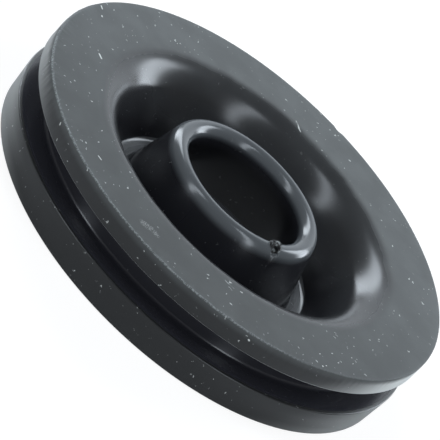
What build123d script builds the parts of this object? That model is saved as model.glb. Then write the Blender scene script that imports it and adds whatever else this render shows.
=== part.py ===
"""Round rubber gasket with a panel groove in its rim and a tubular neck in its bowl, in millimetres.

The gasket is one compression-moulded piece, so it is one solid: its half section, revolved about Z.
It lies on its flat rear face, with the origin at the centre of that face and the bowl opening upwards.
"""

import os
from math import cos, radians, sin, tan

from build123d import *

# Rim: two flanges with the panel groove between them
rim_radius = 25.0
rear_flange_height = 3.5
groove_width = 3.2
front_flange_height = 2.15
groove_depth = 3.2
rear_draft = 5.0  # degrees, on the outside of the rear flange
rim_edge_radius = 0.12
groove_corner_radius = 0.35

# Bowl: the annular hollow between the front face and the neck
mouth_radius = 18.85  # where the flat front face ends
mouth_rounding = 4.0
wall_draft = 24.5  # degrees, on the outer wall of the bowl
floor_thickness = 1.25
floor_corner_radius = 0.6

# Neck: the tube that stands in the bowl, level with the front face
bore_radius = 7.3
lip_radius = 1.02
neck_draft = 15.0  # degrees, on the outside of the neck
neck_root_radius = 0.5
bore_exit_radius = 0.4

# Gate scar: the torn stub that the mould's feed left on the crest of the lip
gate_angle = -44.0  # degrees about Z
gate_radius = 8.3  # from Z to the middle of the stub
gate_size = 0.5
gate_height = 0.4
gate_sink = 0.4
gate_taper = 20.0  # degrees

height = rear_flange_height + groove_width + front_flange_height
groove_floor_radius = rim_radius - groove_depth
front_flange_bottom = height - front_flange_height
rear_edge_radius = rim_radius - rear_flange_height * tan(radians(rear_draft))

# The flat face and the drafted wall would meet here if the mouth weren't rounded
wall_turn = radians(90 - wall_draft)
mouth_corner = mouth_radius - mouth_rounding * tan(wall_turn / 2)
bowl_depth = height - floor_thickness
floor_radius = mouth_corner - bowl_depth * tan(radians(wall_draft))

# The neck's outside is a cone that leaves the lip's rounding at a tangent
lip_centre_radius = bore_radius + lip_radius
lip_centre_height = height - lip_radius
draft = radians(neck_draft)
cone_start = (
    lip_centre_radius + lip_radius * cos(draft),
    lip_centre_height + lip_radius * sin(draft),
)
neck_root = cone_start[0] + (cone_start[1] - floor_thickness) * tan(draft)

with BuildPart() as gasket:
    with BuildSketch(Plane.XZ) as half_section:
        with BuildLine() as outline:
            Polyline(
                (bore_radius, lip_centre_height),
                (bore_radius, 0),
                (rear_edge_radius, 0),
                (rim_radius, rear_flange_height),
                (groove_floor_radius, rear_flange_height),
                (groove_floor_radius, front_flange_bottom),
                (rim_radius, front_flange_bottom),
                (rim_radius, height),
                (mouth_corner, height),
                (floor_radius, floor_thickness),
                (neck_root, floor_thickness),
                cone_start,
            )
            ThreePointArc(
                cone_start,
                (lip_centre_radius, height),
                (bore_radius, lip_centre_height),
            )
        make_face()

        def corner_at(radius, level):
            """The section's corner at one radius and height."""
            return half_section.vertices().sort_by_distance((radius, level))[0]

        fillet(corner_at(mouth_corner, height), mouth_rounding)
        fillet(corner_at(floor_radius, floor_thickness), floor_corner_radius)
        fillet(corner_at(neck_root, floor_thickness), neck_root_radius)
        fillet(corner_at(bore_radius, 0), bore_exit_radius)
        for level in (rear_flange_height, front_flange_bottom):
            fillet(corner_at(groove_floor_radius, level), groove_corner_radius)
            fillet(corner_at(rim_radius, level), rim_edge_radius)
        fillet(corner_at(rim_radius, height), rim_edge_radius)
        fillet(corner_at(rear_edge_radius, 0), rim_edge_radius)
    revolve(axis=Axis.Z)
    gate_place = Plane.XY.offset(height - gate_sink).rotated((0, 0, gate_angle))
    with BuildSketch(gate_place):
        with Locations((gate_radius, 0)):
            RegularPolygon(radius=gate_size, side_count=5)
    extrude(amount=gate_sink + gate_height, taper=gate_taper)

gasket.part.label = "gasket"
os.makedirs("parts", exist_ok=True)
export_step(gasket.part, "parts/gasket.step")
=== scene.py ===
"""Round black rubber gasket: its finished surface, stage, lamps and camera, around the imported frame."""
from math import atan2, cos, hypot, pi, radians, sin, tan, tau

import bmesh
import bpy
from bpy.props import FloatProperty, FloatVectorProperty, IntProperty, PointerProperty
from mathutils import Matrix, Vector, noise


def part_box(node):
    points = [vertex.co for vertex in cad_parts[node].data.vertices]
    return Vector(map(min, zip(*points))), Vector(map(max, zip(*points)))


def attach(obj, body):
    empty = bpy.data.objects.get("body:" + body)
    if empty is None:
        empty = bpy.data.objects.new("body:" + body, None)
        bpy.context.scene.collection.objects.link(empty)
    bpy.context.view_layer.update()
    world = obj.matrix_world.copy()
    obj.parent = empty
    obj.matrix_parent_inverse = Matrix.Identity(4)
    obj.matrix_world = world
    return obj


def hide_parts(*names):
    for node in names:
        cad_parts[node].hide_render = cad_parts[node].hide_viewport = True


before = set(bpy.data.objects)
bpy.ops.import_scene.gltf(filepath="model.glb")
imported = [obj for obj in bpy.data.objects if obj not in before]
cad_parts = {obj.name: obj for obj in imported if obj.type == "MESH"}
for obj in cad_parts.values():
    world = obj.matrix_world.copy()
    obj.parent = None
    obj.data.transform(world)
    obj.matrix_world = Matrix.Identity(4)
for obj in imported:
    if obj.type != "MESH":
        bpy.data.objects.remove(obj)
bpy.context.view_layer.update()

bl_info = {
    "name": "Rubber Gasket",
    "version": (1, 0, 0),
    "blender": (4, 5, 0),
    "location": "3D View > Sidebar > Gasket",
    "description": "Makes a moulded rubber gasket with its stage, lamps and camera",
    "category": "Object",
}

MM = 0.001
BOX_LOW, BOX_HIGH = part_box("gasket")

# The side where the flash was trimmed by hand, where a painted highlight also runs along the pale edge, and
# a nick in the edge, about the axis
CUT_SIDE = radians(238)
NICK = radians(84)

# Share of the dust that lies in the bowl, on the neck and in the groove
BOWL_DUST = 0.10
DUST_ROUGHNESS = 0.9
RUBBER_IOR = 1.48

# What the floor gives off to the camera and in reflections, and its tint to the camera
FLOOR_SHOWN_GLOW = 0.84
FLOOR_MIRRORED_GLOW = 0.02
FLOOR_SHOWN_TINT = (0.25, 0.25, 0.25)

# A mark wider than this, in mm, is a smudge, and is broken up
SMUDGE_WIDTH = 0.3

# Lint and smudges on the rubber, in mm: start, end, width, how far it waves, how pale it is
LINT = (
    ((-20.1, -2.2, 8.85), (-19.6, -2.6, 8.85), 0.15, 0.10, 1.0),
    ((-23.8, 6.1, 8.85), (-23.5, 5.8, 8.85), 0.12, 0.05, 1.0),
    ((-12.5, -18.3, 8.85), (-12.1, -18.5, 8.85), 0.10, 0.20, 0.9),
    ((-1.3, 18.9, 8.85), (-0.1, 18.0, 8.85), 0.13, 0.50, 0.8),
    ((4.5, -18.7, 8.85), (5.6, -18.7, 8.85), 0.08, 0.50, 0.5),
    ((-4.9, -21.9, 8.85), (-4.3, -21.7, 8.85), 0.60, 0.50, 0.30),
    ((-4.0, -21.5, 8.85), (-3.2, -21.8, 8.85), 0.50, 0.50, 0.24),
    ((-18.8, -16.5, 0.7), (-18.5, -16.8, 2.9), 0.09, 0.90, 0.55),
    ((4.6, -24.6, 2.0), (5.8, -24.3, 1.3), 0.08, 0.30, 0.5),
    ((10.0, -22.9, 8.2), (10.1, -22.87, 8.15), 0.12, 0.05, 1.0),
    ((-17.4, -17.9, 8.4), (-17.3, -18.0, 8.25), 0.11, 0.20, 0.9),
    ((-16.5, -18.7, 7.3), (-16.45, -18.75, 7.15), 0.10, 0.20, 0.8),
    ((-5.9, 4.7, 8.8), (-5.5, 5.2, 8.8), 0.08, 0.20, 0.6),
)

# Where dust has gathered, in mm: middle and reach
DRIFTS = (
    ((-20.6, 5.2, 8.85), 4.5),
    ((-14.8, 14.2, 8.85), 3.5),
    ((21.2, 10.6, 8.85), 4.5),
    ((16.2, -15.8, 8.85), 4.0),
)


# Sizes and colours that a user would change

def length(name, description, default, **more):
    """A length property, in metres."""
    return FloatProperty(name=name, description=description, default=default, unit="LENGTH",
                         precision=5, **more)


def colour(name, description, default):
    """A colour property."""
    return FloatVectorProperty(name=name, description=description, default=default, subtype="COLOR",
                               min=0, max=1)


def angle(name, description, degrees_):
    """An angle property, from degrees."""
    return FloatProperty(name=name, description=description, default=radians(degrees_), unit="ROTATION")


def amount(name, description, default, high=1.0):
    """A plain number from 0."""
    return FloatProperty(name=name, description=description, default=default, min=0, max=high)


class GasketShape(bpy.types.PropertyGroup):
    """Sizes of the moulding."""

    rim_radius: length("Rim radius", "Outer radius of both flanges", BOX_HIGH[0])
    height: length("Height", "From the rear face to the front face", 8.85 * MM)
    rear_flange: length("Rear flange", "Height of the rear flange", 3.5 * MM)
    front_flange: length("Front flange", "Height of the front flange", 2.15 * MM)
    groove_depth: length("Groove depth", "How deep the panel groove is", 3.2 * MM)
    groove_corner: length("Groove corner", "Radius in the groove's inner corners", 0.35 * MM)
    rear_draft: angle("Rear draft", "Draft on the outside of the rear flange", 5)
    mouth_radius: length("Mouth radius", "Where the flat front face ends", 18.85 * MM)
    mouth_rounding: length("Mouth rounding", "Radius between the front face and the bowl wall", 4.0 * MM)
    wall_draft: angle("Wall draft", "Draft of the bowl wall", 24.5)
    floor_thickness: length("Floor thickness", "Thickness of the bowl floor", 1.25 * MM)
    floor_corner: length("Floor corner", "Radius between the bowl wall and floor", 0.6 * MM)
    bore_radius: length("Bore radius", "Radius of the bore through the neck", 7.3 * MM)
    bore_exit: length("Bore exit", "Radius where the bore meets the rear face", 0.4 * MM)
    lip_radius: length("Lip radius", "Radius of the full round on the neck", 1.02 * MM)
    neck_draft: angle("Neck draft", "Draft of the neck's outside", 15)
    neck_root: length("Neck root", "Radius between the neck and the bowl floor", 0.5 * MM)
    neck_lean: length("Neck lean", "How far the soft neck leans sideways at its lip", 0.17 * MM)
    edge_rounding: length("Edge rounding", "Radius on the rim's edges", 0.12 * MM)
    trim_depth: length("Trim depth", "How far the trimmed flash wanders along the front edge", 0.11 * MM)
    gate_angle: angle("Gate angle", "Where the gate scar is, about the axis", -44)
    gate_radius: length("Gate radius", "How far the gate scar is from the axis", 8.3 * MM)
    gate_height: length("Gate height", "Height of the torn stub over the lip", 0.40 * MM)
    steps: IntProperty(name="Steps", description="Divisions round the axis", default=640, min=64, max=720)


class GasketFinish(bpy.types.PropertyGroup):
    """Colours and gloss of the rubber."""

    bloom: colour("Bloom", "Matte bloomed rubber of the front face", (0.091, 0.098, 0.098))
    rim: colour("Rim", "Rubber of the flanges' sides", (0.0165, 0.017, 0.0175))
    polish: colour("Polish", "Polished rubber of the bowl and neck", (0.012, 0.0122, 0.0150))
    groove: colour("Groove", "Rubber in the panel groove", (0.029, 0.029, 0.036))
    # Also the colour of the painted highlight along the trimmed edge
    torn: colour("Torn", "Torn rubber of the gate scar and the trimmed edge", (0.22, 0.24, 0.24))
    # Also the pale colour that the painted sheen on the flanges' sides goes to
    dust: colour("Dust", "Dust specks and fibres", (0.74, 0.76, 0.74))
    # The lip's own colour; the code pales it at grazing view as a painted sheen
    lip: colour("Lip", "Satin rubber on top of the neck", (0.092, 0.100, 0.107))
    shelf: colour("Shelf", "Satin rubber on the bowl floor", (0.034, 0.038, 0.044))
    bloom_roughness: amount("Bloom roughness", "Roughness of the front face", 0.6)
    # Strength of the painted sheen that pales the flanges' sides along the surface
    side_sheen: amount("Side haze", "How pale the bloom on the flanges' sides looks along the surface", 0.34)
    lip_roughness: amount("Lip roughness", "Roughness of the lip", 0.19)
    rim_roughness: amount("Rim roughness", "Roughness of the flanges' sides", 0.36)
    polish_roughness: amount("Polish roughness", "Roughness of the bowl and neck", 0.22)


class GasketStage(bpy.types.PropertyGroup):
    """Stage, lamps and camera."""

    floor: colour("Floor", "Colour of the floor", (0.80, 0.80, 0.80))
    fill: amount("Fill", "Strength of the even light from all round", 0.18, 10)
    far_power: amount("Far power", "Power of the broad lamp on the far side", 0.22, 1000)
    side_power: amount("Side power", "Power of each lamp at the front", 0.49, 1000)
    back_power: amount("Back power", "Power of each lamp at the back", 0.40, 1000)
    lamp_colour: colour("Lamp colour", "Cool daylight of the lamps", (0.84, 0.92, 1.0))
    lens: FloatProperty(name="Lens", description="Focal length of the camera", default=284.26,
                        subtype="DISTANCE_CAMERA")
    distance: length("Distance", "Camera's distance from the front face", 350 * MM)
    elevation: angle("Elevation", "Camera's angle over the front face", 26.73)
    roll: angle("Roll", "Camera's turn about its own axis", 43.95)
    across: length("Across", "How far right of the view's middle the object is", 3.07 * MM)
    down: length("Down", "How far below the view's middle the object is", -3.4 * MM)


# Shape

def round_corner(bm, corner, radius, segments):
    """Rounds a corner of a flat outline to that radius."""
    ways = [edge.other_vert(corner).co - corner.co for edge in corner.link_edges]
    offset = radius / tan(ways[0].angle(ways[1]) / 2)
    bmesh.ops.bevel(bm, geom=[corner], offset=offset, offset_type="OFFSET", segments=segments, profile=0.5,
                    affect="VERTICES", material=-1)


def half_section(bm, s):
    """The moulding's half section as a closed outline, its corners rounded."""
    groove_floor = s.rim_radius - s.groove_depth
    groove_top = s.height - s.front_flange
    mouth = s.mouth_radius - s.mouth_rounding * tan((pi / 2 - s.wall_draft) / 2)
    bowl_floor = mouth - (s.height - s.floor_thickness) * tan(s.wall_draft)
    lip_outside = s.bore_radius + s.lip_radius * (1 + tan((pi / 2 - s.neck_draft) / 2))
    neck_foot = lip_outside + (s.height - s.floor_thickness) * tan(s.neck_draft)
    rear_edge = s.rim_radius - s.rear_flange * tan(s.rear_draft)
    edge = s.edge_rounding
    corners = (
        (s.bore_radius, s.height, s.lip_radius, 12),
        (s.bore_radius, 0, s.bore_exit, 4),
        (rear_edge, 0, edge, 2),
        (s.rim_radius, s.rear_flange, edge, 3),
        (groove_floor, s.rear_flange, s.groove_corner, 4),
        (groove_floor, groove_top, s.groove_corner, 4),
        (s.rim_radius, groove_top, edge, 3),
        (s.rim_radius, s.height, edge, 3),
        (mouth, s.height, s.mouth_rounding, 16),
        (bowl_floor, s.floor_thickness, s.floor_corner, 6),
        (neck_foot, s.floor_thickness, s.neck_root, 5),
        (lip_outside, s.height, s.lip_radius, 12),
    )
    points = [bm.verts.new((radius, 0, level)) for radius, level, _, _ in corners]
    bm.faces.new(points)
    for point, (_, _, radius, segments) in zip(points, corners):
        round_corner(bm, point, radius, segments)
    bmesh.ops.delete(bm, geom=bm.faces[:], context="FACES_ONLY")
    bmesh.ops.remove_doubles(bm, verts=bm.verts[:], dist=0.004 * MM)
    longest = 1.1 * MM
    for line in [e for e in bm.edges if e.calc_length() > longest]:
        bmesh.ops.subdivide_edges(bm, edges=[line], cuts=int(line.calc_length() / longest))


def smoothstep(low, high, value):
    """0 at low, 1 at high, smooth between."""
    share = min(max((value - low) / (high - low), 0), 1)
    return share * share * (3 - 2 * share)


def turn_between(a, b):
    """The smaller angle between two directions about the axis."""
    return abs((a - b + pi) % tau - pi)


def trim_front_edge(bm, s):
    """Wanders the front edge of the rim, where the flash was trimmed off by hand."""
    band = 0.2 * MM
    for vert in bm.verts:
        radius = hypot(vert.co.x, vert.co.y)
        if radius < s.rim_radius - band or vert.co.z < s.height - band:
            continue
        around = atan2(vert.co.y, vert.co.x)
        place = Vector((cos(around), sin(around), 0))
        coarse = noise.noise(place * 14)
        fine = noise.noise(place * 75 + Vector((3, 5, 7)))
        rough = 0.25 + 0.75 * smoothstep(radians(95), radians(50), turn_between(around, CUT_SIDE))
        cut = s.trim_depth * rough * (0.45 + 0.5 * coarse + 0.75 * fine)
        cut += 0.22 * MM * smoothstep(radians(1.6), radians(0.3), turn_between(around, NICK))
        lift = s.trim_depth * rough * max(0, 0.35 + 0.9 * fine + 0.4 * coarse)
        scale = 1 - max(cut, 0) / radius
        vert.co.x *= scale
        vert.co.y *= scale
        top = smoothstep(s.rim_radius - band, s.rim_radius - 0.05 * MM, radius)
        vert.co.z += lift * top * smoothstep(s.height - 0.12 * MM, s.height - 0.02 * MM, vert.co.z)


def lean_neck(bm, s):
    """Leans the neck a little to one side, as soft rubber does, with its root left in place."""
    neck_reach = s.bore_radius + 3.6 * MM
    for vert in bm.verts:
        if hypot(vert.co.x, vert.co.y) < neck_reach:
            vert.co.x -= s.neck_lean * smoothstep(s.floor_thickness, s.height, vert.co.z)


def gate_place(s):
    """The middle of the gate scar on the crest of the lip."""
    return Vector((s.gate_radius * cos(s.gate_angle), s.gate_radius * sin(s.gate_angle), s.height))


def tear_gate(bm, s):
    """Raises the torn stub on the lip, with a pit on its outer side, and marks its faces as torn."""
    middle = gate_place(s)
    finer_reach, moved_reach, torn_reach = 1.15 * MM, 1.5 * MM, 0.85 * MM
    near = [f for f in bm.faces if (f.calc_center_median() - middle).length < finer_reach]
    edges = list({e for f in near for e in f.edges})
    bmesh.ops.subdivide_edges(bm, edges=edges, cuts=2, use_grid_fill=True)
    bmesh.ops.triangulate(bm, faces=[f for f in bm.faces if len(f.verts) > 4])
    bm.normal_update()
    outward = Vector((cos(s.gate_angle), sin(s.gate_angle), 0))
    along = Vector((-outward.y, outward.x, 0))
    moves = []
    for vert in bm.verts:
        away = vert.co - middle
        if away.length > moved_reach:
            continue
        u, v = away.dot(along) / MM, away.dot(outward) / MM
        rag = noise.noise(vert.co / MM * 2.6 + Vector((1.3, 0, 4))) * 0.55
        rag += noise.noise(vert.co / MM * 6.5) * 0.45
        reach = hypot(u / 0.78, (v + 0.02) / 0.62) + rag * 0.6
        stub = s.gate_height * smoothstep(1.1, 0.7, reach) * (0.85 + 1.2 * rag)
        pit_reach = hypot((u + 0.02) / 0.5, (v - 0.72) / 0.36) + rag * 0.4
        pit = 0.34 * MM * smoothstep(1.1, 0.4, pit_reach)
        moves.append((vert, Vector((0, 0, stub)) - vert.normal * pit + along * rag * 0.6 * stub))
    for vert, move in moves:
        vert.co += move
        vert.co.z = min(vert.co.z, BOX_HIGH[2])
    for face in bm.faces:
        if (face.calc_center_median() - middle).length < torn_reach:
            face.material_index = 1


# Materials

def add_node(tree, kind, inputs=(), **settings):
    """A new node with its settings, each named input linked to a socket or given a value."""
    made = tree.nodes.new(kind)
    for key, value in settings.items():
        setattr(made, key, value)
    for key, value in dict(inputs).items():
        if isinstance(value, bpy.types.NodeSocket):
            tree.links.new(value, made.inputs[key])
        else:
            made.inputs[key].default_value = value
    return made


def calc(tree, operation, *values):
    """A Math node's result."""
    return add_node(tree, "ShaderNodeMath", enumerate(values), operation=operation).outputs[0]


def vec(tree, operation, *values):
    """A Vector Math node's result."""
    made = add_node(tree, "ShaderNodeVectorMath", enumerate(values), operation=operation)
    return made.outputs["Value" if operation in ("LENGTH", "DOT_PRODUCT", "DISTANCE") else "Vector"]


def ramp(tree, value, low, high, start=0.0, end=1.0):
    """Start below low, end above high, smooth between."""
    inputs = {"Value": value, "From Min": low, "From Max": high, "To Min": start, "To Max": end}
    return add_node(tree, "ShaderNodeMapRange", inputs, interpolation_type="SMOOTHSTEP").outputs[0]


def blend(tree, factor, a, b, kind="RGBA"):
    """A Mix node's result: a where factor is 0, b where it is 1."""
    made = add_node(tree, "ShaderNodeMix", {0: factor}, data_type=kind)
    pair = {"RGBA": (6, 7, 2), "FLOAT": (2, 3, 0)}[kind]
    for index, value in zip(pair, (a, b)):
        if isinstance(value, bpy.types.NodeSocket):
            tree.links.new(value, made.inputs[index])
        else:
            made.inputs[index].default_value = value
    return made.outputs[pair[2]]


def new_group(name, inputs, outputs):
    """An empty node group with those sockets: (tree, its input node's sockets, its output node)."""
    tree = bpy.data.node_groups.new(name, "ShaderNodeTree")
    for socket, kind, default in inputs:
        made = tree.interface.new_socket(socket, in_out="INPUT", socket_type=kind)
        if default is not None:
            made.default_value = default
    for socket, kind in outputs:
        tree.interface.new_socket(socket, in_out="OUTPUT", socket_type=kind)
    return tree, tree.nodes.new("NodeGroupInput").outputs, tree.nodes.new("NodeGroupOutput")


def speck_group():
    """Scattered specks of dust: a cell holds one speck or none, of its own size."""
    tree, given, result = new_group(
        "Dust specks",
        (("Position", "NodeSocketVector", None), ("Scale", "NodeSocketFloat", 1000.0),
         ("Amount", "NodeSocketFloat", 0.2), ("Size", "NodeSocketFloat", 0.2)),
        (("Mask", "NodeSocketFloat"),))
    position = given["Position"]
    ragged = add_node(tree, "ShaderNodeTexNoise", {"Vector": position, "Scale": 4200.0, "Detail": 1.0})
    bend = 0.55 * MM
    bent = vec(tree, "MULTIPLY_ADD", ragged.outputs["Color"], (bend, bend, bend), position)
    cells = add_node(tree, "ShaderNodeTexVoronoi", {"Vector": bent, "Scale": given["Scale"]})
    parts = add_node(tree, "ShaderNodeSeparateColor", {"Color": cells.outputs["Color"]})
    present = calc(tree, "LESS_THAN", parts.outputs[0], given["Amount"])
    own = calc(tree, "MULTIPLY", given["Size"], calc(tree, "MULTIPLY_ADD", parts.outputs[1], 0.9, 0.35))
    edge = ramp(tree, cells.outputs["Distance"], calc(tree, "MULTIPLY", own, 0.6), own, 1.0, 0.0)
    strength = calc(tree, "MULTIPLY_ADD", parts.outputs[2], 0.7, 0.3)
    mask = calc(tree, "MULTIPLY", calc(tree, "MULTIPLY", edge, present), strength)
    tree.links.new(mask, result.inputs["Mask"])
    return tree


def strand_group():
    """One fibre or scratch from Start to End, wavy and of that width."""
    tree, given, result = new_group(
        "Strand",
        (("Position", "NodeSocketVector", None), ("Start", "NodeSocketVector", None),
         ("End", "NodeSocketVector", None), ("Width", "NodeSocketFloat", 0.0001),
         ("Wave", "NodeSocketFloat", 0.0003)),
        (("Mask", "NodeSocketFloat"),))
    position = given["Position"]
    bend = add_node(tree, "ShaderNodeTexNoise", {"Vector": position, "Scale": 900.0, "Detail": 1.0})
    sway = vec(tree, "SUBTRACT", bend.outputs["Color"], (0.5, 0.5, 0.5))
    sway = add_node(tree, "ShaderNodeVectorMath", {0: sway, "Scale": given["Wave"]}, operation="SCALE")
    place = vec(tree, "ADD", position, sway.outputs[0])
    from_start = vec(tree, "SUBTRACT", place, given["Start"])
    run = vec(tree, "SUBTRACT", given["End"], given["Start"])
    along = vec(tree, "DOT_PRODUCT", from_start, run)
    share = calc(tree, "DIVIDE", along, vec(tree, "DOT_PRODUCT", run, run))
    share = add_node(tree, "ShaderNodeClamp", {"Value": share}).outputs[0]
    nearest = add_node(tree, "ShaderNodeVectorMath", {0: run, "Scale": share}, operation="SCALE").outputs[0]
    gap = vec(tree, "DISTANCE", from_start, nearest)
    mask = ramp(tree, gap, calc(tree, "MULTIPLY", given["Width"], 0.3), given["Width"], 1.0, 0.0)
    tree.links.new(mask, result.inputs["Mask"])
    return tree


def cloud_group():
    """Soft mottling of the bloom and the fine grain of the mould."""
    tree, given, result = new_group(
        "Mottle and grain",
        (("Position", "NodeSocketVector", None), ("Mottle scale", "NodeSocketFloat", 250.0),
         ("Grain scale", "NodeSocketFloat", 6000.0)),
        (("Mottle", "NodeSocketFloat"), ("Grain", "NodeSocketFloat")))
    for output, scale, detail in (("Mottle", "Mottle scale", 4.0), ("Grain", "Grain scale", 2.0)):
        made = add_node(tree, "ShaderNodeTexNoise",
                        {"Vector": given["Position"], "Scale": given[scale], "Detail": detail})
        tree.links.new(made.outputs[0], result.inputs[output])
    return tree


def use_group(tree, group, inputs):
    """A group placed in a material with its own values."""
    made = add_node(tree, "ShaderNodeGroup", node_tree=group)
    for key, value in inputs.items():
        if isinstance(value, bpy.types.NodeSocket):
            tree.links.new(value, made.inputs[key])
        else:
            made.inputs[key].default_value = value
    return made.outputs


def new_material(name):
    """An empty node material: (material, its tree, its Principled BSDF)."""
    material = bpy.data.materials.new(name)
    material.use_nodes = True
    tree = material.node_tree
    tree.nodes.clear()
    shader = add_node(tree, "ShaderNodeBsdfPrincipled")
    output = add_node(tree, "ShaderNodeOutputMaterial")
    tree.links.new(shader.outputs[0], output.inputs["Surface"])
    return material, tree, shader


def rgba(value):
    """A colour property as a node takes it."""
    return (*value, 1.0)


def scaled(colour_, factor):
    """A colour property made darker or paler, as a node takes it."""
    return rgba([channel * factor for channel in colour_])


def times(tree, *masks):
    """Masks multiplied together."""
    product = masks[0]
    for mask in masks[1:]:
        product = calc(tree, "MULTIPLY", product, mask)
    return product


def most(tree, *masks):
    """The strongest of some masks."""
    strongest = masks[0]
    for mask in masks[1:]:
        strongest = calc(tree, "MAXIMUM", strongest, mask)
    return strongest


def rubber_zones(tree, shape, position, cloud):
    """Masks over the parts of the surface, by radius and level."""
    level = add_node(tree, "ShaderNodeSeparateXYZ", {0: position}).outputs[2]
    radius = vec(tree, "LENGTH", vec(tree, "MULTIPLY", position, (1, 1, 0)))
    wander = calc(tree, "MULTIPLY_ADD", cloud["Mottle"], 1.2 * MM, -0.6 * MM)
    wandering = calc(tree, "ADD", radius, wander)
    cut_side = vec(tree, "DOT_PRODUCT", position, (cos(CUT_SIDE), sin(CUT_SIDE), 0))
    outer, mouth, bore, top = shape.rim_radius, shape.mouth_radius, shape.bore_radius, shape.height
    shelf_level = shape.floor_thickness

    return {
        "face": times(tree, ramp(tree, wandering, mouth - 1.3 * MM, mouth + 0.5 * MM),
                      ramp(tree, level, top - 0.9 * MM, top - 0.05 * MM)),
        "side": times(tree, ramp(tree, radius, outer - 0.5 * MM, outer - 0.35 * MM),
                      ramp(tree, level, top - 0.07 * MM, top - 0.02 * MM, 1.0, 0.0)),
        "groove": ramp(tree, radius, mouth + 2 * MM, mouth + 3 * MM),
        # Pale trimmed edge: partly torn rubber, partly a painted highlight along the edge, strongest on the
        # cut side
        "trim_and_edge_glint": times(tree, ramp(tree, radius, outer - 0.42 * MM, outer - 0.16 * MM),
                      ramp(tree, level, top - 0.12 * MM, top - 0.03 * MM),
                      ramp(tree, cut_side, 4 * MM, 18 * MM, 0.1, 1.0),
                      ramp(tree, cloud["Grain"], 0.42, 0.58, 0.1, 1.0)),
        "lip": times(tree, ramp(tree, radius, bore + 3.2 * MM, bore + 2.4 * MM),
                     ramp(tree, level, top - 1.4 * MM, top - 0.55 * MM)),
        "shelf": times(tree, ramp(tree, level, shelf_level + 0.05 * MM, shelf_level + 0.5 * MM, 1.0, 0.0),
                       ramp(tree, radius, mouth, mouth - 1 * MM)),
        # Painted shade: deep in the bore, below the lip
        "bore": times(tree, ramp(tree, radius, bore + 0.4 * MM, bore + 0.2 * MM),
                      ramp(tree, level, top - 1.2 * MM, top - 2.4 * MM)),
        # Painted light: the upper bowl wall lightened with the face's bloom colour, fading out with depth
        "veil": times(tree, ramp(tree, wandering, mouth - 8 * MM, mouth - 1 * MM, 0.0, 0.26),
                      ramp(tree, level, top - 6.5 * MM, top - 3 * MM),
                      calc(tree, "LESS_THAN", radius, mouth + 1 * MM)),
    }


def bloom_colour(tree, finish, position, cloud):
    """The bloom of the front face: mottled, and paler towards the far side as painted light."""
    across = add_node(tree, "ShaderNodeSeparateXYZ", {0: position}).outputs[1]
    mottled = blend(tree, ramp(tree, cloud["Mottle"], 0.3, 0.7), scaled(finish.bloom, 0.90),
                    scaled(finish.bloom, 1.10))
    # Painted light: the face darker on the near side and paler on the far side
    far_side_light = ramp(tree, across, -23 * MM, 12 * MM, 0.70, 1.10)
    far_side_light = add_node(tree, "ShaderNodeCombineXYZ", {0: far_side_light, 1: far_side_light, 2: far_side_light})
    return vec(tree, "MULTIPLY", mottled, far_side_light.outputs[0])


def side_colour(tree, shape, finish, position, grazing):
    """The flanges' sides: nearly black face on, with a painted sheen that pales them towards the dust
    colour along the surface.
    """
    place = add_node(tree, "ShaderNodeSeparateXYZ", {0: position}).outputs
    # Painted sheen: the sides paled towards the dust colour where seen along the surface
    sheen = times(tree, ramp(tree, grazing, 0.42, 0.85), finish.side_sheen)
    # Painted sheen made stronger at the rear flange's left end and much stronger at the front flange's
    # right end
    rear_share = ramp(tree, place[0], -22 * MM, 22 * MM, 1.2, 0.8)
    front_share = ramp(tree, place[0], -22 * MM, 22 * MM, 1.1, 2.5)
    share = ramp(tree, place[2], shape.rear_flange, shape.height - 2 * MM, rear_share, front_share)
    sheen = calc(tree, "MINIMUM", times(tree, sheen, share), 1.0)
    return blend(tree, sheen, rgba(finish.rim), rgba(finish.dust))


def dust_mask(tree, groups, position, cloud, zones):
    """Specks in patches and drifts, thick on the rim and rare in the bowl, and the lint over them."""
    specks = {}
    for size, scale, share, reach in (("fine", 1400.0, 0.8, 0.15), ("coarse", 620.0, 0.45, 0.085)):
        given = {"Position": position, "Scale": scale, "Amount": share, "Size": reach}
        specks[size] = use_group(tree, groups["speck"], given)["Mask"]
    patchy = ramp(tree, cloud["Mottle"], 0.40, 0.55)
    for middle, reach in DRIFTS:
        gap = vec(tree, "DISTANCE", position, Vector(middle) * MM)
        patchy = most(tree, patchy, ramp(tree, gap, reach * 0.4 * MM, reach * MM, 1.6, 0.0))
    dust = most(tree, times(tree, specks["fine"], patchy), specks["coarse"])
    dust = times(tree, dust, most(tree, zones["face"], zones["side"], BOWL_DUST))
    for start, end, width, wave, pale in LINT:
        given = {"Position": position, "Start": Vector(start) * MM, "End": Vector(end) * MM,
                 "Width": width * MM, "Wave": wave * MM}
        mark = times(tree, use_group(tree, groups["strand"], given)["Mask"], pale)
        if width > SMUDGE_WIDTH:
            mark = times(tree, mark, ramp(tree, cloud["Grain"], 0.42, 0.6))
        dust = most(tree, dust, mark)
    return dust


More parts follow.
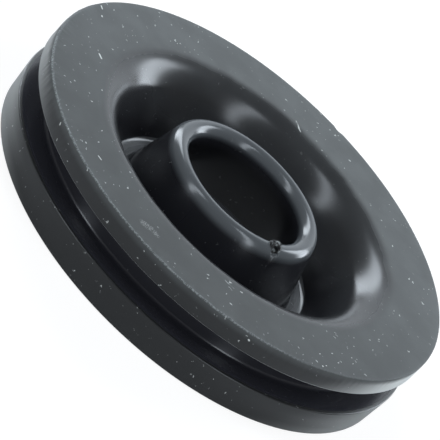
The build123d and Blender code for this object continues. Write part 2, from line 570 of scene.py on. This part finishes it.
def rubber_material(shape, finish, groups):
    """Black rubber: bloomed and dusty on the rim, polished in the bowl and on the neck, with painted sheen
    on the flanges' sides and lip, painted light on the face and upper bowl, painted shade deep in the bore,
    and a painted highlight along the trimmed edge.
    """
    material, tree, shader = new_material("black_rubber")
    position = add_node(tree, "ShaderNodeTexCoord").outputs["Object"]
    grazing = add_node(tree, "ShaderNodeLayerWeight", {"Blend": 0.5}).outputs["Facing"]
    cloud = use_group(tree, groups["cloud"], {"Position": position})
    zones = rubber_zones(tree, shape, position, cloud)
    dust = dust_mask(tree, groups, position, cloud, zones)
    bloom = bloom_colour(tree, finish, position, cloud)
    # Painted sheen: the lip's colour made 2.8 times paler where the surface is seen edge-on
    lip = blend(tree, ramp(tree, grazing, 0.72, 1.0), rgba(finish.lip), scaled(finish.lip, 2.8))

    layers = (
        (zones["groove"], rgba(finish.groove)),
        # Painted shade: the polish darkened to a third deep in the bore
        (zones["bore"], scaled(finish.polish, 0.3)),
        (zones["lip"], lip),
        (zones["shelf"], rgba(finish.shelf)),
        # Painted light on the upper bowl wall, in the bloom colour
        (zones["veil"], bloom),
        # The sides' colour, with its painted sheen
        (zones["side"], side_colour(tree, shape, finish, position, grazing)),
        (zones["face"], bloom),
        # Torn rubber along the trimmed edge, partly a painted highlight
        (zones["trim_and_edge_glint"], rgba(finish.torn)),
        (dust, rgba(finish.dust)),
    )
    surface = rgba(finish.polish)
    for mask, layer in layers:
        surface = blend(tree, mask, surface, layer)

    rough = finish.polish_roughness
    for mask, layer in ((zones["lip"], finish.lip_roughness), (zones["side"], finish.rim_roughness),
                        (zones["face"], finish.bloom_roughness), (dust, DUST_ROUGHNESS)):
        rough = blend(tree, mask, rough, layer, "FLOAT")

    grain = times(tree, cloud["Grain"], most(tree, zones["face"], zones["side"]))
    height = calc(tree, "MULTIPLY_ADD", dust, 3.0, grain)
    bump = add_node(tree, "ShaderNodeBump", {"Strength": 0.25, "Distance": 0.03 * MM, "Height": height})
    tree.links.new(surface, shader.inputs["Base Color"])
    tree.links.new(rough, shader.inputs["Roughness"])
    tree.links.new(bump.outputs[0], shader.inputs["Normal"])
    shader.inputs["IOR"].default_value = RUBBER_IOR
    return material


def torn_material(finish, groups):
    """Torn rubber of the gate scar: paler, rough and broken."""
    material, tree, shader = new_material("torn_rubber")
    position = add_node(tree, "ShaderNodeTexCoord").outputs["Object"]
    given = {"Position": position, "Mottle scale": 2600.0, "Grain scale": 9000.0}
    cloud = use_group(tree, groups["cloud"], given)
    pale = ramp(tree, cloud["Mottle"], 0.47, 0.64)
    surface = blend(tree, pale, scaled(finish.polish, 0.25), rgba(finish.torn))
    broken = {"Strength": 0.8, "Distance": 0.06 * MM, "Height": cloud["Mottle"]}
    bump = add_node(tree, "ShaderNodeBump", broken)
    tree.links.new(surface, shader.inputs["Base Color"])
    tree.links.new(ramp(tree, cloud["Grain"], 0.3, 0.7, 0.3, 0.6), shader.inputs["Roughness"])
    tree.links.new(bump.outputs[0], shader.inputs["Normal"])
    return material


class GASKET_OT_make_body(bpy.types.Operator):
    """Make the rubber moulding: rim, panel groove, bowl, neck and gate scar"""

    bl_idname = "gasket.make_body"
    bl_label = "Make the moulding"

    def execute(self, context):
        shape = context.scene.gasket_shape
        finish = context.scene.gasket_finish
        bm = bmesh.new()
        half_section(bm, shape)
        bmesh.ops.spin(bm, geom=bm.verts[:] + bm.edges[:], cent=(0, 0, 0), axis=(0, 0, 1), angle=tau,
                       steps=shape.steps, use_merge=True, use_duplicate=False)
        bmesh.ops.remove_doubles(bm, verts=bm.verts[:], dist=0.001 * MM)
        bmesh.ops.recalc_face_normals(bm, faces=bm.faces[:])
        trim_front_edge(bm, shape)
        tear_gate(bm, shape)
        lean_neck(bm, shape)
        for face in bm.faces:
            face.smooth = True
        mesh = bpy.data.meshes.new("gasket_body")
        bm.to_mesh(mesh)
        bm.free()
        if not mesh.polygons:
            raise RuntimeError("the moulding has no faces")
        groups = {"speck": speck_group(), "strand": strand_group(), "cloud": cloud_group()}
        mesh.materials.append(rubber_material(shape, finish, groups))
        mesh.materials.append(torn_material(finish, groups))
        body = bpy.data.objects.new("gasket_body", mesh)
        context.scene.collection.objects.link(body)
        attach(body, "root")
        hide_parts("gasket")
        return {"FINISHED"}


# Stage

def add_lamp(context, name, foot, head, distance, width, power, shade):
    """A soft box facing the object, its ends at foot and head: azimuth and elevation in degrees."""
    middle = Vector((0, 0, BOX_HIGH[2] / 2))
    ends = []
    for azimuth, elevation in (foot, head):
        azimuth, elevation = radians(azimuth), radians(elevation)
        way = Vector((cos(elevation) * cos(azimuth), cos(elevation) * sin(azimuth), sin(elevation)))
        ends.append(middle + way * distance)
    data = bpy.data.lights.new(name, "AREA")
    data.shape = "RECTANGLE"
    data.size, data.size_y = width, (ends[1] - ends[0]).length
    data.energy = power
    data.color = shade
    lamp = bpy.data.objects.new(name, data)
    context.scene.collection.objects.link(lamp)
    place = (ends[0] + ends[1]) / 2
    long_way = (ends[1] - ends[0]).normalized()
    back = (place - middle).normalized()
    turn = Matrix((long_way.cross(back), long_way, back)).transposed().to_4x4()
    lamp.matrix_world = Matrix.Translation(place) @ turn


def floor_material(stage):
    """Pale floor, white to the camera and still holding the object's shadow.

    It glows a little in reflections, except under the object, where the bore would show it.
    """
    material = bpy.data.materials.new("pale_floor")
    material.use_nodes = True
    tree = material.node_tree
    tree.nodes.clear()
    rays = add_node(tree, "ShaderNodeLightPath")
    mirrored = calc(tree, "MAXIMUM", rays.outputs["Is Glossy Ray"], rays.outputs["Is Transmission Ray"])
    place = add_node(tree, "ShaderNodeTexCoord").outputs["Object"]
    clear = ramp(tree, vec(tree, "LENGTH", place), BOX_HIGH[0] - 2 * MM, BOX_HIGH[0] + 2 * MM)
    mirrored = calc(tree, "MULTIPLY", mirrored, clear)
    seen = rays.outputs["Is Camera Ray"]
    shown = calc(tree, "MULTIPLY", seen, FLOOR_SHOWN_GLOW)
    strength = calc(tree, "MULTIPLY_ADD", mirrored, FLOOR_MIRRORED_GLOW, shown)
    tint = blend(tree, seen, rgba(stage.floor), rgba(FLOOR_SHOWN_TINT))
    plain = add_node(tree, "ShaderNodeBsdfDiffuse", {"Color": tint})
    glow = add_node(tree, "ShaderNodeEmission", {"Color": rgba((1, 1, 1)), "Strength": strength})
    both = add_node(tree, "ShaderNodeAddShader", {0: plain.outputs[0], 1: glow.outputs[0]})
    output = add_node(tree, "ShaderNodeOutputMaterial")
    tree.links.new(both.outputs[0], output.inputs["Surface"])
    return material


def set_world(context, stage):
    """White to the camera, even fill to the object."""
    world = bpy.data.worlds.new("studio")
    world.use_nodes = True
    tree = world.node_tree
    tree.nodes.clear()
    rays = add_node(tree, "ShaderNodeLightPath")
    seen = rays.outputs["Is Camera Ray"]
    strength = blend(tree, seen, stage.fill, 1.0, "FLOAT")
    glow = add_node(tree, "ShaderNodeBackground", {"Color": rgba((1, 1, 1)), "Strength": strength})
    output = add_node(tree, "ShaderNodeOutputWorld")
    tree.links.new(glow.outputs[0], output.inputs["Surface"])
    context.scene.world = world


def set_camera(context, stage):
    """The camera over the near side of the rim, rolled so that the object leans across the view."""
    e, roll = stage.elevation, stage.roll
    forward = Vector((0, cos(e), -sin(e)))
    plain_right, plain_down = Vector((1, 0, 0)), Vector((0, -sin(e), -cos(e)))
    right = plain_right * cos(roll) - plain_down * sin(roll)
    down = plain_right * sin(roll) + plain_down * cos(roll)
    front = Vector((0, 0, context.scene.gasket_shape.height))
    place = front - right * stage.across - down * stage.down - forward * stage.distance
    data = bpy.data.cameras.new("camera")
    data.sensor_width = 36
    data.lens = stage.lens
    data.clip_start = 0.01
    camera = bpy.data.objects.new("camera", data)
    context.scene.collection.objects.link(camera)
    turn = Matrix((right, -down, -forward)).transposed().to_4x4()
    camera.matrix_world = Matrix.Translation(place) @ turn
    context.scene.camera = camera


class GASKET_OT_set_stage(bpy.types.Operator):
    """Set the pale floor, the soft lamps, the world and the camera"""

    bl_idname = "gasket.set_stage"
    bl_label = "Set the stage"

    def execute(self, context):
        stage = context.scene.gasket_stage
        bm = bmesh.new()
        bmesh.ops.create_grid(bm, x_segments=1, y_segments=1, size=3.0)
        bmesh.ops.translate(bm, verts=bm.verts[:], vec=(0, 0, BOX_LOW[2] - 0.02 * MM))
        mesh = bpy.data.meshes.new("floor")
        bm.to_mesh(mesh)
        bm.free()
        mesh.materials.append(floor_material(stage))
        floor = bpy.data.objects.new("floor", mesh)
        context.scene.collection.objects.link(floor)
        # Name, foot, head, distance, width, power
        lamps = (
            ("lamp_far", (90, 4), (90, 40), 0.35, 0.35, stage.far_power),
            ("lamp_left", (224, 4), (188, 74), 0.4, 0.052, stage.side_power),
            ("lamp_left_back", (137, 3), (118, 42), 0.3, 0.085, stage.back_power),
            ("lamp_right", (-44, 4), (-8, 74), 0.4, 0.052, stage.side_power),
            ("lamp_right_back", (43, 3), (62, 42), 0.3, 0.085, stage.back_power),
        )
        for lamp in lamps:
            add_lamp(context, *lamp, stage.lamp_colour)
        set_world(context, stage)
        set_camera(context, stage)
        context.scene.view_settings.view_transform = "Standard"
        return {"FINISHED"}


class GASKET_PT_panel(bpy.types.Panel):
    """The gasket's operators"""

    bl_label = "Rubber Gasket"
    bl_idname = "GASKET_PT_panel"
    bl_space_type = "VIEW_3D"
    bl_region_type = "UI"
    bl_category = "Gasket"

    def draw(self, context):
        for operator in OPERATORS:
            self.layout.operator(operator.bl_idname)
        for group in ("gasket_shape", "gasket_finish", "gasket_stage"):
            box = self.layout.box()
            for name in getattr(context.scene, group).__annotations__:
                box.prop(getattr(context.scene, group), name)


OPERATORS = (GASKET_OT_make_body, GASKET_OT_set_stage)
PROPERTY_GROUPS = {"gasket_shape": GasketShape, "gasket_finish": GasketFinish, "gasket_stage": GasketStage}


def register():
    """Registers the classes and puts the property groups on the scene."""
    for cls in (*PROPERTY_GROUPS.values(), *OPERATORS, GASKET_PT_panel):
        bpy.utils.register_class(cls)
    for name, cls in PROPERTY_GROUPS.items():
        setattr(bpy.types.Scene, name, PointerProperty(type=cls))


def unregister():
    """Takes away what register added."""
    for name in PROPERTY_GROUPS:
        delattr(bpy.types.Scene, name)
    for cls in (GASKET_PT_panel, *OPERATORS, *PROPERTY_GROUPS.values()):
        bpy.utils.unregister_class(cls)


def main():
    """Makes the gasket and its stage."""
    register()
    bpy.ops.gasket.make_body()
    bpy.ops.gasket.set_stage()


if __name__ == "__main__":
    main()
